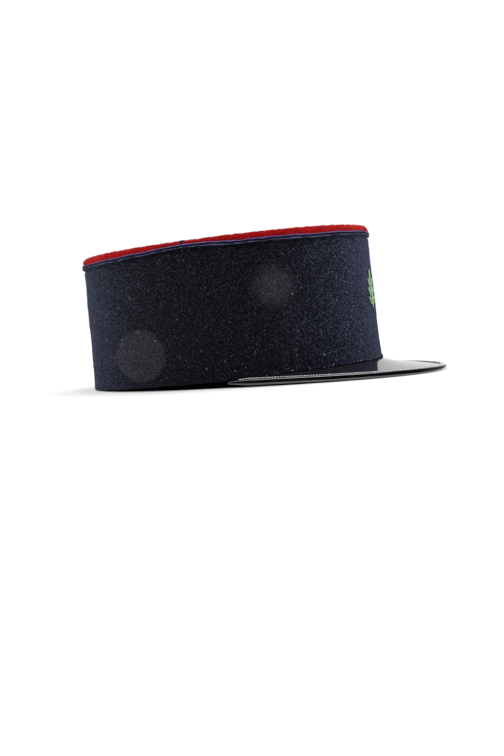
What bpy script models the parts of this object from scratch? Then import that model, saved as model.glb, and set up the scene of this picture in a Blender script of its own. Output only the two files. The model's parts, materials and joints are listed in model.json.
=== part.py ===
"""Kepi cap: a stiff cloth crown with a red top, braid trim and a bound patent leather peak.

Metres, +Z up. In the cap's own axes the rim lies at z = 0 round the origin, the front is -Y and
the wearer's right is -X. The whole cap then leans back a little, so that it stands on a surface
on the rear of its rim and the tip of its peak.
"""
import math

import bmesh
import bpy
import numpy as np
from mathutils import Vector

MM = 0.001

# Crown, outside sizes
RIM_LENGTH = 205.0 * MM
RIM_WIDTH = 167.7 * MM
END_LEAN = 1.7 * MM        # how far front and back lean in from rim to top
SIDE_LEAN = 0.6 * MM
FRONT_HEIGHT = 93.6 * MM   # rim to the highest line of the red edge
BACK_HEIGHT = 91.3 * MM
FRONT_POWER = 2.23         # a fuller curve than an ellipse, which has 2
BACK_POWER = 2.0
WALL = 2.2 * MM
RIM_ROUND = 0.5 * MM
HEM_PROUD = 0.6 * MM       # turned hem over the peak
HEM_TALL = 12.0 * MM
GAP = 0.3 * MM             # between pieces that touch

# Red top
TOP_CLOTH = 2.0 * MM
EDGE_ROUND = 2.6 * MM
EDGE_FLAT = 2.5 * MM       # from the rounded edge to the step
SINK = 2.4 * MM            # the flat top lies this far below the edge
STEP_RUN = 3.0 * MM
STRIP = 4.7 * MM           # tallest height of red above the braid

# Height of the red strip round half the cap, from the front to the back
STRIP_ROWS = (
    # angle in degrees, share of STRIP
    (0.0, 0.85),
    (25.0, 0.94),
    (45.0, 0.98),
    (65.0, 0.87),
    (78.0, 0.72),
    (90.0, 0.42),
    (102.0, 0.72),
    (115.0, 0.88),
    (135.0, 1.0),
    (180.0, 0.97),
)

# Braid
BRAID_TALL = 2.8 * MM
BRAID_PROUD = 1.0 * MM
BRAID_SECTION = (
    # share of BRAID_PROUD outwards, share of BRAID_TALL across
    (0.0, -0.5),
    (0.75, -0.46),
    (1.0, -0.25),
    (0.7, 0.0),
    (1.0, 0.25),
    (0.75, 0.46),
    (0.0, 0.5),
)
CROSS_BRAIDS = (
    # name, angle from the front in degrees
    ("front_braid", 0.0),
    ("right_braid", 90.0),
    ("back_braid", 180.0),
    ("left_braid", 270.0),
)

# Peak
PEAK_REACH = 43.8 * MM     # front of the rim to the edge line at the tip
PEAK_TIP_DROP = 7.0 * MM   # edge line below the rim at the tip
PEAK_END_DROP = 0.6 * MM   # and at the two ends
PEAK_FLARE = 0.7 * MM      # edge line outside the rim's widest line
PEAK_TUCK = 11.8 * MM      # centre of the edge curve behind the ends
PEAK_END = math.radians(79.5)
PEAK_POWER = 2.26
DROP_POWER = 1.16
FAN = 1.6                  # how much the ribs across the peak spread towards the front
LIFT = 3.0 * MM            # lower edge of the cloth above the rim at the front
LIFT_POWER = 1.7
PLATE = 1.5 * MM
FLANGE = 8.0 * MM          # turned up inside the crown
BINDING = 0.7 * MM
LIP = 3.0 * MM             # binding inwards from the edge line, above and below the plate
TAPER = 14.0 * MM          # the peak thins over this length at each end
TAPER_POWER = 0.8
THIN_END = 0.5

# Embroidered sprig on the front
SPRIG_TALL = 26.0 * MM
SPRIG_CENTRE = 50.5 * MM   # above the rim
SPRIG_THICK = 1.0 * MM
STEM_WIDE = 1.6 * MM
LEAF_SLIM = 0.36           # a leaf's width as a share of its length
SPRIG_LEAVES = (
    # root as a share of SPRIG_TALL from the foot, length as a share of it, lean in degrees
    (0.12, 0.34, 62.0),
    (0.32, 0.36, 54.0),
    (0.52, 0.34, 44.0),
)
TIP_LEAF = 0.36            # share of SPRIG_TALL

AROUND = 96                # sides of the crown
PEAK_RIBS = 60
BEAD_SIDES = 6
ROLL_STEPS = 4
LEAF_STEPS = 7


def new_collection(name):
    collection = bpy.data.collections.new(name)
    bpy.context.scene.collection.children.link(collection)
    return collection


def material(name, colour, roughness, metallic=0.0):
    made = bpy.data.materials.new(name)
    made.use_nodes = True
    shader = made.node_tree.nodes["Principled BSDF"]
    shader.inputs["Base Color"].default_value = (*colour, 1.0)
    shader.inputs["Roughness"].default_value = roughness
    shader.inputs["Metallic"].default_value = metallic
    made.diffuse_color = (*colour, 1.0)
    return made


def add_part(name, mesh, finish):
    """Link a mesh as a named part on the leaning axes, shaded smooth between its sharp edges."""
    mesh.shade_smooth()
    mesh.set_sharp_from_angle(angle=math.radians(35.0))
    part = bpy.data.objects.new(name, mesh)
    part.data.materials.append(finish)
    parts.objects.link(part)
    part.parent = lean
    return part


def to_mesh(name, form):
    bmesh.ops.recalc_face_normals(form, faces=form.faces)
    mesh = bpy.data.meshes.new(name)
    form.to_mesh(mesh)
    form.free()
    return mesh


def skin(form, sections, closed_section):
    """Join each section to the next with a band of four-sided faces; returns the vertex rows."""
    rows = [[form.verts.new(point) for point in section] for section in sections]
    count = len(rows[0])
    last = count if closed_section else count - 1
    for row, following in zip(rows, rows[1:]):
        for i in range(last):
            j = (i + 1) % count
            form.faces.new((row[i], row[j], following[j], following[i]))
    return rows


def loft(name, sections):
    """A closed body through open-ended sections, capped at both ends."""
    form = bmesh.new()
    rows = skin(form, sections, closed_section=True)
    form.faces.new(rows[0])
    form.faces.new(rows[-1])
    return to_mesh(name, form)


def ring(name, sections):
    """A closed body through sections that go once round the crown."""
    form = bmesh.new()
    rows = skin(form, sections, closed_section=True)
    count = len(rows[0])
    for i in range(count):
        j = (i + 1) % count
        form.faces.new((rows[-1][i], rows[-1][j], rows[0][j], rows[0][i]))
    return to_mesh(name, form)


def signed_power(value, power):
    return math.copysign(abs(value) ** power, value)


def oval(angle, share, out):
    """Plan point of the crown's outer face at a share of its height, moved outwards by out."""
    power = FRONT_POWER if math.cos(angle) > 0.0 else BACK_POWER
    half_width = RIM_WIDTH / 2 - SIDE_LEAN * share
    half_length = RIM_LENGTH / 2 - END_LEAN * share
    across = -signed_power(math.sin(angle), 2 / power)
    along = -signed_power(math.cos(angle), 2 / power)
    normal = Vector((
        signed_power(across, power - 1) / half_width,
        signed_power(along, power - 1) / half_length,
    )).normalized()
    return Vector((half_width * across, half_length * along)) + normal * out


def top_plane(y):
    """Height of the plane that the red edge's highest line lies in."""
    half_length = RIM_LENGTH / 2 - END_LEAN
    middle = (FRONT_HEIGHT + BACK_HEIGHT) / 2
    return middle - (FRONT_HEIGHT - BACK_HEIGHT) / 2 * y / half_length


def crown_height(angle):
    return top_plane(oval(angle, 1.0, 0.0).y)


def wall_point(angle, z, out):
    """Point at height z on the crown's outer face, moved outwards by out."""
    plan = oval(angle, z / crown_height(angle), out)
    return Vector((plan.x, plan.y, z))


def from_front(angle):
    """Angle away from the front, 0 to pi, on either side."""
    return abs(math.remainder(angle, math.tau))


def strip_height(angle):
    degrees, shares = zip(*STRIP_ROWS)
    return STRIP * float(np.interp(math.degrees(from_front(angle)), degrees, shares))


def joint_height(angle):
    """Where the blue wall ends and the red top starts, behind the middle of the braid."""
    return crown_height(angle) - strip_height(angle) - BRAID_TALL / 2


def lower_edge(angle):
    """Height of the cloth's lower edge, which rises over the peak."""
    turn = from_front(angle) / PEAK_END
    if turn >= 1.0:
        return 0.0
    return LIFT * (1 - turn ** LIFT_POWER) ** (1 / LIFT_POWER)


def hem(angle, above_edge):
    """How far the turned hem stands proud of the wall."""
    fade = max(0.0, 1 - above_edge / HEM_TALL)
    return HEM_PROUD * max(0.0, math.cos(angle)) * fade ** 2


def round_the_crown():
    return [math.tau * i / AROUND for i in range(AROUND)]


def build_crown_wall():
    sections = []
    for angle in round_the_crown():
        low = lower_edge(angle)
        top = joint_height(angle)
        section = [wall_point(angle, low, -WALL + RIM_ROUND)]
        for degrees in (0.0, 45.0, 90.0):
            turn = math.radians(degrees)
            above = RIM_ROUND * (1 - math.cos(turn))
            inwards = RIM_ROUND * (1 - math.sin(turn))
            section.append(wall_point(angle, low + above, hem(angle, above) - inwards))
        for share in (0.5, 1.0):
            above = share * HEM_TALL
            section.append(wall_point(angle, low + above, hem(angle, above)))
        for share in (0.5, 1.0):
            height = low + HEM_TALL + share * (top - low - HEM_TALL)
            section.append(wall_point(angle, height, 0.0))
        section.append(wall_point(angle, top, -WALL))
        section.append(wall_point(angle, low + RIM_ROUND, -WALL))
        sections.append(section)
    cloth = material("navy_cloth", (0.012, 0.014, 0.026), 0.95)
    return add_part("crown_wall", ring("crown_wall", sections), cloth)


def rolled_edge(start, radius):
    """Inset and drop of points over the rounded edge, from a drop of start up to the top."""
    first = math.asin(max(0.0, 1 - start / radius))
    points = [(0.0, start)] if start > radius else []
    for i in range(ROLL_STEPS + 1):
        turn = first + (math.pi / 2 - first) * i / ROLL_STEPS
        points.append((radius * (1 - math.cos(turn)), radius * (1 - math.sin(turn))))
    return points


def edge_radius(angle):
    """The edge's radius, kept smaller than the height of the red side."""
    return min(EDGE_ROUND, 0.9 * (crown_height(angle) - joint_height(angle) - GAP))


def step_down(radius):
    """Inset and drop of points from the edge's flat down to the sunken top."""
    points = []
    for share, fall in ((0.0, 0.0), (0.3, 0.15), (0.7, 0.85), (1.0, 1.0)):
        points.append((radius + EDGE_FLAT + STEP_RUN * share, SINK * fall))
    return points


def top_point(angle, inset, drop):
    """Point of the red top: inset from the crown's side, drop below the plane of its edge."""
    share = 1 - drop / crown_height(angle)
    plan = oval(angle, share, -inset)
    return Vector((plan.x, plan.y, top_plane(plan.y) - drop))


def build_crown_top():
    sections = []
    for angle in round_the_crown() + [0.0]:
        start = crown_height(angle) - joint_height(angle) - GAP
        radius = edge_radius(angle)
        profile = rolled_edge(start, radius) + step_down(radius)
        sections.append([top_point(angle, inset, drop) for inset, drop in profile])
    form = bmesh.new()
    rows = skin(form, sections, closed_section=False)
    form.faces.new([row[-1] for row in rows[:-1]])
    bmesh.ops.remove_doubles(form, verts=form.verts, dist=GAP / 100)
    cloth = material("red_cloth", (0.42, 0.012, 0.014), 0.95)
    part = add_part("crown_top", to_mesh("crown_top", form), cloth)
    thick = part.modifiers.new("cloth", "SOLIDIFY")
    thick.thickness = TOP_CLOTH
    thick.offset = -1.0
    thick.use_even_offset = True
    return part


def build_edge_braid(braid):
    sections = []
    for angle in round_the_crown():
        middle = joint_height(angle)
        sections.append([
            wall_point(angle, middle + BRAID_TALL * across, GAP + BRAID_PROUD * out)
            for out, across in BRAID_SECTION
        ])
    return add_part("edge_braid", ring("edge_braid", sections), braid)


def build_cross_braid(name, angle, braid):
    """A short braid from the edge braid over the red edge to the step of the sunken top."""
    radius = edge_radius(angle)
    profile = rolled_edge(strip_height(angle) - GAP, radius) + step_down(radius)[:1]
    path = [top_point(angle, inset, drop) for inset, drop in profile]
    outwards = wall_point(angle, 0.0, 1.0) - wall_point(angle, 0.0, 0.0)
    side = outwards.cross(Vector((0.0, 0.0, 1.0)))
    sections = []
    for i, point in enumerate(path):
        along = path[min(i + 1, len(path) - 1)] - path[max(i - 1, 0)]
        normal = along.cross(side).normalized()
        sections.append([
            point + normal * (GAP + BRAID_PROUD * out) + side * (BRAID_TALL * across)
            for out, across in BRAID_SECTION
        ])
    return add_part(name, loft(name, sections), braid)


def peak_ribs():
    """Ribs across the peak: crown angle, edge point, direction inwards, and thinning, each."""
    end_y = oval(PEAK_END, 0.0, 0.0).y
    root_y = end_y + PEAK_TUCK
    reach = root_y + RIM_LENGTH / 2 + PEAK_REACH
    half_span = RIM_WIDTH / 2 + PEAK_FLARE
    end_swing = math.acos((PEAK_TUCK / reach) ** (PEAK_POWER / 2))
    ribs = []
    for i in range(PEAK_RIBS + 1):
        turn = 2 * i / PEAK_RIBS - 1
        angle = PEAK_END * signed_power(turn, FAN)
        swing = end_swing * turn
        forward = math.cos(swing) ** (2 / PEAK_POWER)
        drop = PEAK_END_DROP + (PEAK_TIP_DROP - PEAK_END_DROP) * forward ** DROP_POWER
        edge = Vector((
            -half_span * signed_power(math.sin(swing), 2 / PEAK_POWER),
            root_y - reach * forward,
            -drop,
        ))
        from_end = max(0.0, end_y - edge.y) / TAPER
        thin = THIN_END + (1 - THIN_END) * min(1.0, from_end ** TAPER_POWER)
        seat = wall_point(angle, lower_edge(angle) - GAP, GAP)
        seat.z -= thin * PLATE / 2
        ribs.append((angle, edge, (seat - edge).normalized(), thin))
    return ribs


def build_peak():
    up = Vector((0.0, 0.0, 1.0))
    sections = []
    for angle, edge, inwards, thin in peak_ribs():
        half = thin * PLATE / 2
        top = lower_edge(angle) - GAP
        seat = wall_point(angle, top, GAP)
        seat.z -= half
        rim = edge - inwards * half
        middle = [seat.lerp(rim, share) for share in (0.0, 0.4, 0.8, 1.0)]
        inner = WALL + GAP
        section = [wall_point(angle, lower_edge(angle) + FLANGE, -inner)]
        section.append(wall_point(angle, top, -inner))
        section += [point + up * half for point in middle]
        section += [point - up * half for point in reversed(middle)]
        section.append(wall_point(angle, top - 2 * half, -inner - 2 * half))
        section.append(wall_point(angle, lower_edge(angle) + FLANGE, -inner - 2 * half))
        sections.append(section)
    leather = material("patent_leather", (0.006, 0.006, 0.007), 0.08)
    return add_part("peak", loft("peak", sections), leather)


def bead_half(thin):
    return thin * (PLATE / 2 + BINDING) + GAP


def build_peak_binding():
    """Leather folded over the peak's edge: a round outer side and a lip above and below."""
    up = Vector((0.0, 0.0, 1.0))
    sections = []
    for angle, edge, inwards, thin in peak_ribs():
        half = bead_half(thin)
        slot = thin * PLATE / 2 + GAP
        lip = thin * LIP
        outline = []
        for i in range(BEAD_SIDES + 1):
            turn = math.pi * i / BEAD_SIDES
            outline.append((-half * math.sin(turn), half * math.cos(turn)))
        outline += [(lip, -half), (lip, -slot), (-slot, -slot)]
        outline += [(-slot, slot), (lip, slot), (lip, half)]
        sections.append([edge + inwards * into + up * rise for into, rise in outline])
    leather = material("patent_binding", (0.007, 0.007, 0.008), 0.15)
    return add_part("peak_binding", loft("peak_binding", sections), leather)


def slab(name, outline, low, high, collection):
    """A flat outline given thickness, in the sprig's own plane."""
    curve = bpy.data.curves.new(name, "CURVE")
    curve.dimensions = "2D"
    curve.fill_mode = "BOTH"
    curve.extrude = (high - low) / 2
    spline = curve.splines.new("POLY")
    spline.points.add(len(outline) - 1)
    for point, (x, y) in zip(spline.points, outline):
        point.co = (x, y, 0.0, 1.0)
    spline.use_cyclic_u = True
    flat = bpy.data.objects.new(name, curve)
    collection.objects.link(flat)
    bpy.context.view_layer.update()
    seen = flat.evaluated_get(bpy.context.evaluated_depsgraph_get())
    form = bmesh.new()
    form.from_mesh(bpy.data.meshes.new_from_object(seen))
    bmesh.ops.remove_doubles(form, verts=form.verts, dist=GAP / 100)
    bmesh.ops.translate(form, verts=form.verts, vec=(0.0, 0.0, (low + high) / 2))
    body = bpy.data.objects.new(name, to_mesh(name, form))
    collection.objects.link(body)
    bpy.data.objects.remove(flat)
    return body


def leaf_outline(root, length, lean_angle):
    """Points round a pointed leaf that grows from root, leaning away from the stem."""
    ahead = Vector((math.sin(lean_angle), math.cos(lean_angle)))
    aside = Vector((ahead.y, -ahead.x))
    edge = []
    for i in range(LEAF_STEPS + 1):
        share = i / LEAF_STEPS
        edge.append((share, LEAF_SLIM / 2 * math.sin(math.pi * share ** 0.8)))
    outline = [ahead * along + aside * out for along, out in edge]
    outline += [ahead * along - aside * out for along, out in reversed(edge[1:-1])]
    return [Vector((0.0, root)) + point * length for point in outline]


def build_emblem():
    """A plain leafy sprig, laid on the front of the crown."""
    foot = -SPRIG_TALL / 2
    tip_root = foot + SPRIG_TALL * (1 - TIP_LEAF)
    half = STEM_WIDE / 2
    head = tip_root + STEM_WIDE
    stem = slab("stem", [(-half, foot), (half, foot), (half, head), (-half, head)],
                0.0, SPRIG_THICK, cutters)
    leaves = [leaf_outline(tip_root, SPRIG_TALL * TIP_LEAF, 0.0)]
    for root, length, degrees in SPRIG_LEAVES:
        for side in (-1, 1):
            leaves.append(leaf_outline(foot + SPRIG_TALL * root, SPRIG_TALL * length,
                                       side * math.radians(degrees)))
    for i, outline in enumerate(leaves):
        # each leaf starts and ends at its own level, so no two faces coincide
        level = SPRIG_THICK * 0.03 * (i + 1)
        leaf = slab("leaf", outline, level, SPRIG_THICK - level, cutters)
        leaf.hide_render = True
        leaf.display_type = "WIRE"
        union = stem.modifiers.new("leaf", "BOOLEAN")
        union.operation = "UNION"
        union.object = leaf
    stem.hide_render = True
    stem.display_type = "WIRE"
    bpy.context.view_layer.update()
    seen = stem.evaluated_get(bpy.context.evaluated_depsgraph_get())
    mesh = bpy.data.meshes.new_from_object(seen)
    for vertex in mesh.vertices:
        x, up, out = vertex.co
        z = SPRIG_CENTRE + up
        half_width = wall_point(math.pi / 2, z, 0.0).length
        angle = -math.asin(signed_power(x / half_width, FRONT_POWER / 2))
        vertex.co = wall_point(angle, z, GAP + out)
    mesh.materials.clear()
    thread = material("green_thread", (0.12, 0.42, 0.12), 0.7)
    return add_part("emblem", mesh, thread)


def stand_on_surface():
    """Lean the cap back, so the rear of the rim and the peak's tip touch z = 0, and centre it."""
    tip_y = -RIM_LENGTH / 2 - PEAK_REACH
    tip_low = PEAK_TIP_DROP + bead_half(1.0)
    rear_y = RIM_LENGTH / 2 - RIM_ROUND
    angle = math.atan2(tip_low, rear_y - tip_y)
    top_rear = RIM_LENGTH / 2 - END_LEAN + GAP + BRAID_PROUD
    back = top_rear * math.cos(angle) + joint_height(math.pi) * math.sin(angle)
    front_point = tip_y - bead_half(1.0)
    front = front_point * math.cos(angle) - PEAK_TIP_DROP * math.sin(angle)
    lean.rotation_euler.x = -angle
    lean.location = (0.0, -(front + back) / 2, rear_y * math.sin(angle))


for old in list(bpy.data.objects):
    bpy.data.objects.remove(old)
parts = new_collection("kepi_cap")
cutters = new_collection("cutters")
lean = bpy.data.objects.new("lean", None)
parts.objects.link(lean)

build_crown_wall()
build_crown_top()
navy_braid = material("navy_braid", (0.03, 0.03, 0.09), 0.8)
build_edge_braid(navy_braid)
for braid_name, braid_degrees in CROSS_BRAIDS:
    build_cross_braid(braid_name, math.radians(braid_degrees), navy_braid)
build_peak()
build_peak_binding()
build_emblem()
stand_on_surface()
bpy.context.view_layer.update()
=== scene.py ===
"""Dresses the kepi cap: felted wool, soutache, patent leather and an embroidered sprig.

Metres. Pieces are made in the cap's own axes, where the rim lies at z = 0 round the origin, the
front is -Y and the wearer's right is -X. CAP then leans them as the solid model leans.
"""
import json
import math

import bmesh
import bpy
import numpy as np
from mathutils import Matrix, Vector


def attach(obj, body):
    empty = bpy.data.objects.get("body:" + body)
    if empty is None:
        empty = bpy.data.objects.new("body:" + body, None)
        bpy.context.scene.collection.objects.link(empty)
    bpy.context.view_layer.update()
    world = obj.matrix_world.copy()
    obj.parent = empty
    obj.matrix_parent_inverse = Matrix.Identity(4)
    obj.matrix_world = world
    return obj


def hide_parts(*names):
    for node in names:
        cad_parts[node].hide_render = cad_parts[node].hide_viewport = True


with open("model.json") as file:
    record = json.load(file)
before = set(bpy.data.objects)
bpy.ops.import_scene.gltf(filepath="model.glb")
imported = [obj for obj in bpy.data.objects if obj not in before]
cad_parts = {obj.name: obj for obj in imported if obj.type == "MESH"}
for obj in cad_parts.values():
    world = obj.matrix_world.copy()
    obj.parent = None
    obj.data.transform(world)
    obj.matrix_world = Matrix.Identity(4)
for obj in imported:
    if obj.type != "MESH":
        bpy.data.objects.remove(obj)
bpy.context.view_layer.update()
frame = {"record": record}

MM = 0.001
UP = np.array([0.0, 0.0, 1.0])

# Sizes of the solid model, apart from the peak's taper
RIM_LENGTH = 205.0 * MM
RIM_WIDTH = 167.7 * MM
END_LEAN = 1.7 * MM
SIDE_LEAN = 0.6 * MM
FRONT_HEIGHT = 93.6 * MM
BACK_HEIGHT = 91.3 * MM
FRONT_POWER = 2.23
BACK_POWER = 2.0
WALL = 2.2 * MM
RIM_ROUND = 0.5 * MM
HEM_PROUD = 0.6 * MM
HEM_TALL = 12.0 * MM
GAP = 0.3 * MM
TOP_CLOTH = 2.0 * MM
EDGE_ROUND = 2.6 * MM
EDGE_FLAT = 2.5 * MM
SINK = 2.4 * MM
STEP_RUN = 3.0 * MM
STRIP = 4.7 * MM
STRIP_ROWS = (
    # angle from the front in degrees, share of STRIP
    (0.0, 0.85),
    (25.0, 0.94),
    (45.0, 0.98),
    (65.0, 0.87),
    (78.0, 0.72),
    (90.0, 0.42),
    (102.0, 0.72),
    (115.0, 0.88),
    (135.0, 1.0),
    (180.0, 0.97),
)
STRIP_BLEND = 2.5          # degrees on each side that soften the steps between rows
BRAID_TALL = 2.8 * MM
BRAID_PROUD = 1.0 * MM
CROSS_BRAIDS = (
    # node, angle from the front in degrees
    ("front_braid", 0.0),
    ("right_braid", 90.0),
    ("back_braid", 180.0),
    ("left_braid", 270.0),
)
PEAK_REACH = 43.8 * MM
PEAK_TIP_DROP = 7.0 * MM
PEAK_END_DROP = 0.6 * MM
PEAK_FLARE = 0.7 * MM
PEAK_TUCK = 11.8 * MM
PEAK_END = math.radians(79.5)
PEAK_POWER = 2.26
DROP_POWER = 1.16
FAN = 1.6
LIFT = 3.0 * MM
LIFT_POWER = 1.7
PLATE = 1.5 * MM
FLANGE = 8.0 * MM
BINDING = 0.7 * MM
LIP = 3.0 * MM
TAPER = 14.0 * MM
TAPER_POWER = 0.7          # thinner at the ends than the solid peak
THIN_END = 0.2
SPRIG_TALL = 26.0 * MM
SPRIG_CENTRE = 50.5 * MM
LEAF_SLIM = 0.36
SPRIG_LEAVES = (
    # root and length as shares of SPRIG_TALL, lean in degrees
    (0.12, 0.34, 62.0),
    (0.32, 0.36, 54.0),
    (0.52, 0.34, 44.0),
)
TIP_LEAF = 0.36

# Camera, in the cap's own axes
CAMERA_PLACE = Vector((-837.1, -283.3, 35.4)) * MM
CAMERA_AZIMUTH = -71.99
CAMERA_ELEVATION = 2.5
CAMERA_ROLL = -5.88
LENS = 59.66
SENSOR = 36.0


def leaning():
    """The solid model's lean, read from the mount at the middle of the rim."""
    mount = next(m for m in frame["record"]["mounts"] if m["name"] == "head_opening")
    up = -Vector(mount["axis"])
    return (Matrix.Translation(mount["pos_m"])
            @ Matrix.Rotation(-math.atan2(up.y, up.z), 4, "X"))


CAP = leaning()


# Shapes of the crown and the peak, for arrays of angles

def signed_power(value, power):
    return np.sign(value) * np.abs(value) ** power


def unit(vectors):
    return vectors / np.maximum(np.linalg.norm(vectors, axis=-1, keepdims=True), 1e-12)


def run_length(path):
    """Length along a path up to each of its points."""
    return np.concatenate([[0.0], np.cumsum(np.linalg.norm(np.diff(path, axis=0), axis=1))])


def closed_length(path, last):
    """The same for a path that closes, with the length of its last stretch."""
    along = run_length(path)
    return np.append(along, along[-1] + last)


def resampled(path, lengths, places):
    """Points at given places on a path whose own points lie at given lengths."""
    return np.stack([np.interp(places, lengths, part) for part in path.T], -1)


def oval(angle, share, out):
    power = np.where(np.cos(angle) > 0.0, FRONT_POWER, BACK_POWER)
    half_width = RIM_WIDTH / 2 - SIDE_LEAN * share
    half_length = RIM_LENGTH / 2 - END_LEAN * share
    across = -signed_power(np.sin(angle), 2 / power)
    along = -signed_power(np.cos(angle), 2 / power)
    normal_x = signed_power(across, power - 1) / half_width
    normal_y = signed_power(along, power - 1) / half_length
    size = np.hypot(normal_x, normal_y)
    return (half_width * across + normal_x / size * out,
            half_length * along + normal_y / size * out)


def top_plane(y):
    half_length = RIM_LENGTH / 2 - END_LEAN
    middle = (FRONT_HEIGHT + BACK_HEIGHT) / 2
    return middle - (FRONT_HEIGHT - BACK_HEIGHT) / 2 * y / half_length


def crown_height(angle):
    return top_plane(oval(angle, 1.0, 0.0)[1])


def wall_point(angle, z, out):
    x, y = oval(angle, z / crown_height(angle), out)
    return np.stack(np.broadcast_arrays(x, y, z), -1)


def from_front(angle):
    return np.abs((angle + math.pi) % math.tau - math.pi)


def strip_height(angle):
    degrees, shares = zip(*STRIP_ROWS)
    turn = np.degrees(from_front(angle))
    near = [np.interp(np.abs(turn + aside), degrees, shares)
            for aside in (-STRIP_BLEND, 0.0, STRIP_BLEND)]
    return STRIP * sum(near) / len(near)


def joint_height(angle):
    return crown_height(angle) - strip_height(angle) - BRAID_TALL / 2


def lower_edge(angle):
    turn = np.minimum(1.0, from_front(angle) / PEAK_END)
    return LIFT * (1 - turn ** LIFT_POWER) ** (1 / LIFT_POWER)


def arc_table():
    """Length round the crown's middle up to each of many angles."""
    angles = np.linspace(0.0, math.tau, 4001)
    x, y = oval(angles, 0.5, 0.0)
    steps = np.hypot(np.diff(x), np.diff(y))
    return angles, np.concatenate([[0.0], np.cumsum(steps)])


ARC_ANGLES, ARC_LENGTHS = arc_table()
GIRTH = ARC_LENGTHS[-1]


def even_angles(count):
    """Angles at even steps of length round the crown, starting at the front."""
    return np.interp(np.arange(count) / count * GIRTH, ARC_LENGTHS, ARC_ANGLES)


def arc_of(angle):
    return np.interp(angle, ARC_ANGLES, ARC_LENGTHS)


def arcs_round(angle):
    """Lengths round the crown for a column of angles, with the whole girth at the end."""
    return np.append(arc_of(angle[:, 0]), GIRTH)


def peak_ribs(count):
    """Ribs across the peak: crown angle, edge point, seat under the cloth, inwards and thinning."""
    end_y = float(oval(PEAK_END, 0.0, 0.0)[1])
    root_y = end_y + PEAK_TUCK
    reach = root_y + RIM_LENGTH / 2 + PEAK_REACH
    half_span = RIM_WIDTH / 2 + PEAK_FLARE
    end_swing = math.acos((PEAK_TUCK / reach) ** (PEAK_POWER / 2))
    turn = np.linspace(-1.0, 1.0, count)
    angle = PEAK_END * signed_power(turn, FAN)
    swing = end_swing * turn
    forward = np.cos(swing) ** (2 / PEAK_POWER)
    drop = PEAK_END_DROP + (PEAK_TIP_DROP - PEAK_END_DROP) * forward ** DROP_POWER
    edge = np.stack([
        -half_span * signed_power(np.sin(swing), 2 / PEAK_POWER),
        root_y - reach * forward,
        -drop,
    ], -1)
    from_end = np.maximum(0.0, end_y - edge[:, 1]) / TAPER
    thin = THIN_END + (1 - THIN_END) * np.minimum(1.0, from_end ** TAPER_POWER)
    seat = wall_point(angle, lower_edge(angle) - GAP, GAP)
    seat[:, 2] -= thin * PLATE / 2
    return angle, edge, seat, unit(seat - edge), thin


# Mesh helpers

def ripple(points, wavelength, seed, waves=20):
    """Smooth noise with a spread of about 1, from waves of random direction."""
    rng = np.random.default_rng(seed)
    directions = unit(rng.normal(size=(waves, 3)))
    numbers = math.tau / wavelength * rng.uniform(0.7, 1.4, (waves, 1))
    phases = rng.uniform(0.0, math.tau, waves)
    return np.sin(points @ (directions * numbers).T + phases).sum(-1) * math.sqrt(2 / waves)


def ripples(points, rows):
    """Ripples added up; a row is height, wavelength and seed."""
    return sum(height * ripple(points, wavelength, seed) for height, wavelength, seed in rows)


def add_object(name, data):
    made = bpy.data.objects.new(name, data)
    bpy.context.scene.collection.objects.link(made)
    return made


def add_piece(name, vertices, faces, finish, slot, uvs=None, replaced=(), weld=False):
    """Make a piece of the cap, in the cap's axes, that rides on the one body."""
    mesh = bpy.data.meshes.new(name)
    mesh.from_pydata(np.asarray(vertices).tolist(), [], [list(face) for face in faces])
    mesh.transform(CAP)
    if uvs is not None:
        mesh.uv_layers.new(name="UVMap").data.foreach_set("uv", np.concatenate(uvs).ravel())
    form = bmesh.new()
    form.from_mesh(mesh)
    if weld:
        bmesh.ops.remove_doubles(form, verts=form.verts, dist=0.001 * MM)
    bmesh.ops.recalc_face_normals(form, faces=form.faces)
    form.to_mesh(mesh)
    form.free()
    mesh.shade_smooth()
    mesh.materials.append(finish)
    piece = add_object(name, mesh)
    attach(piece, "root")
    if replaced:
        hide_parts(*replaced)
    return piece


def end_caps(first, size, sides):
    """Faces that close both ends of a tube of corners, counted from first."""
    last = first + size - sides
    return [list(range(first, first + sides)), list(range(last, last + sides))]


def grid_faces(rows, columns, closed_rows, closed_columns):
    """Faces over a grid of points, and the grid place of each corner for its UV."""
    i, j = np.meshgrid(np.arange(rows - 1 + closed_rows),
                       np.arange(columns - 1 + closed_columns), indexing="ij")
    i, j = i.ravel(), j.ravel()
    corners = ((i, j), (i + 1, j), (i + 1, j + 1), (i, j + 1))
    faces = np.stack([(a % rows) * columns + b % columns for a, b in corners], 1)
    return faces, corners


def grid_piece(name, points, u, v, finish, slot, replaced, closed_rows, closed_columns=1):
    """A piece from a grid of points; rows that don't close on themselves get capped ends."""
    rows, columns = points.shape[:2]
    uv = np.stack(np.meshgrid(u, v, indexing="ij"), -1)
    faces, corners = grid_faces(rows, columns, closed_rows, closed_columns)
    uvs = [np.stack([uv[a, b] for a, b in corners], 1).reshape(-1, 2)]
    faces = faces.tolist()
    if not closed_rows:
        for row in (0, rows - 1):
            faces.append([row * columns + j for j in range(columns)])
            uvs.append(uv[row, :columns])
    return add_piece(name, points.reshape(-1, 3), faces, finish, slot, uvs, replaced,
                     weld=not closed_columns)


def tubes(paths, ups, radii, sides, flat=1.0):
    """Vertices and faces of capped tubes along paths (tube, step, 3); flat squashes them."""
    count, steps = paths.shape[:2]
    along = unit(np.gradient(paths, axis=1))
    across = unit(np.cross(along, ups))
    up = np.cross(across, along) * flat
    turns = math.tau * np.arange(sides) / sides
    ring = (across[:, :, None] * np.cos(turns)[:, None] + up[:, :, None] * np.sin(turns)[:, None])
    vertices = paths[:, :, None] + ring * np.asarray(radii)[..., None, None]
    faces, _ = grid_faces(steps, sides, 0, 1)
    size = steps * sides
    faces = (faces[None] + size * np.arange(count)[:, None, None]).reshape(-1, 4).tolist()
    for tube in range(count):
        faces += end_caps(tube * size, size, sides)
    return vertices.reshape(-1, 3), faces


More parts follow.
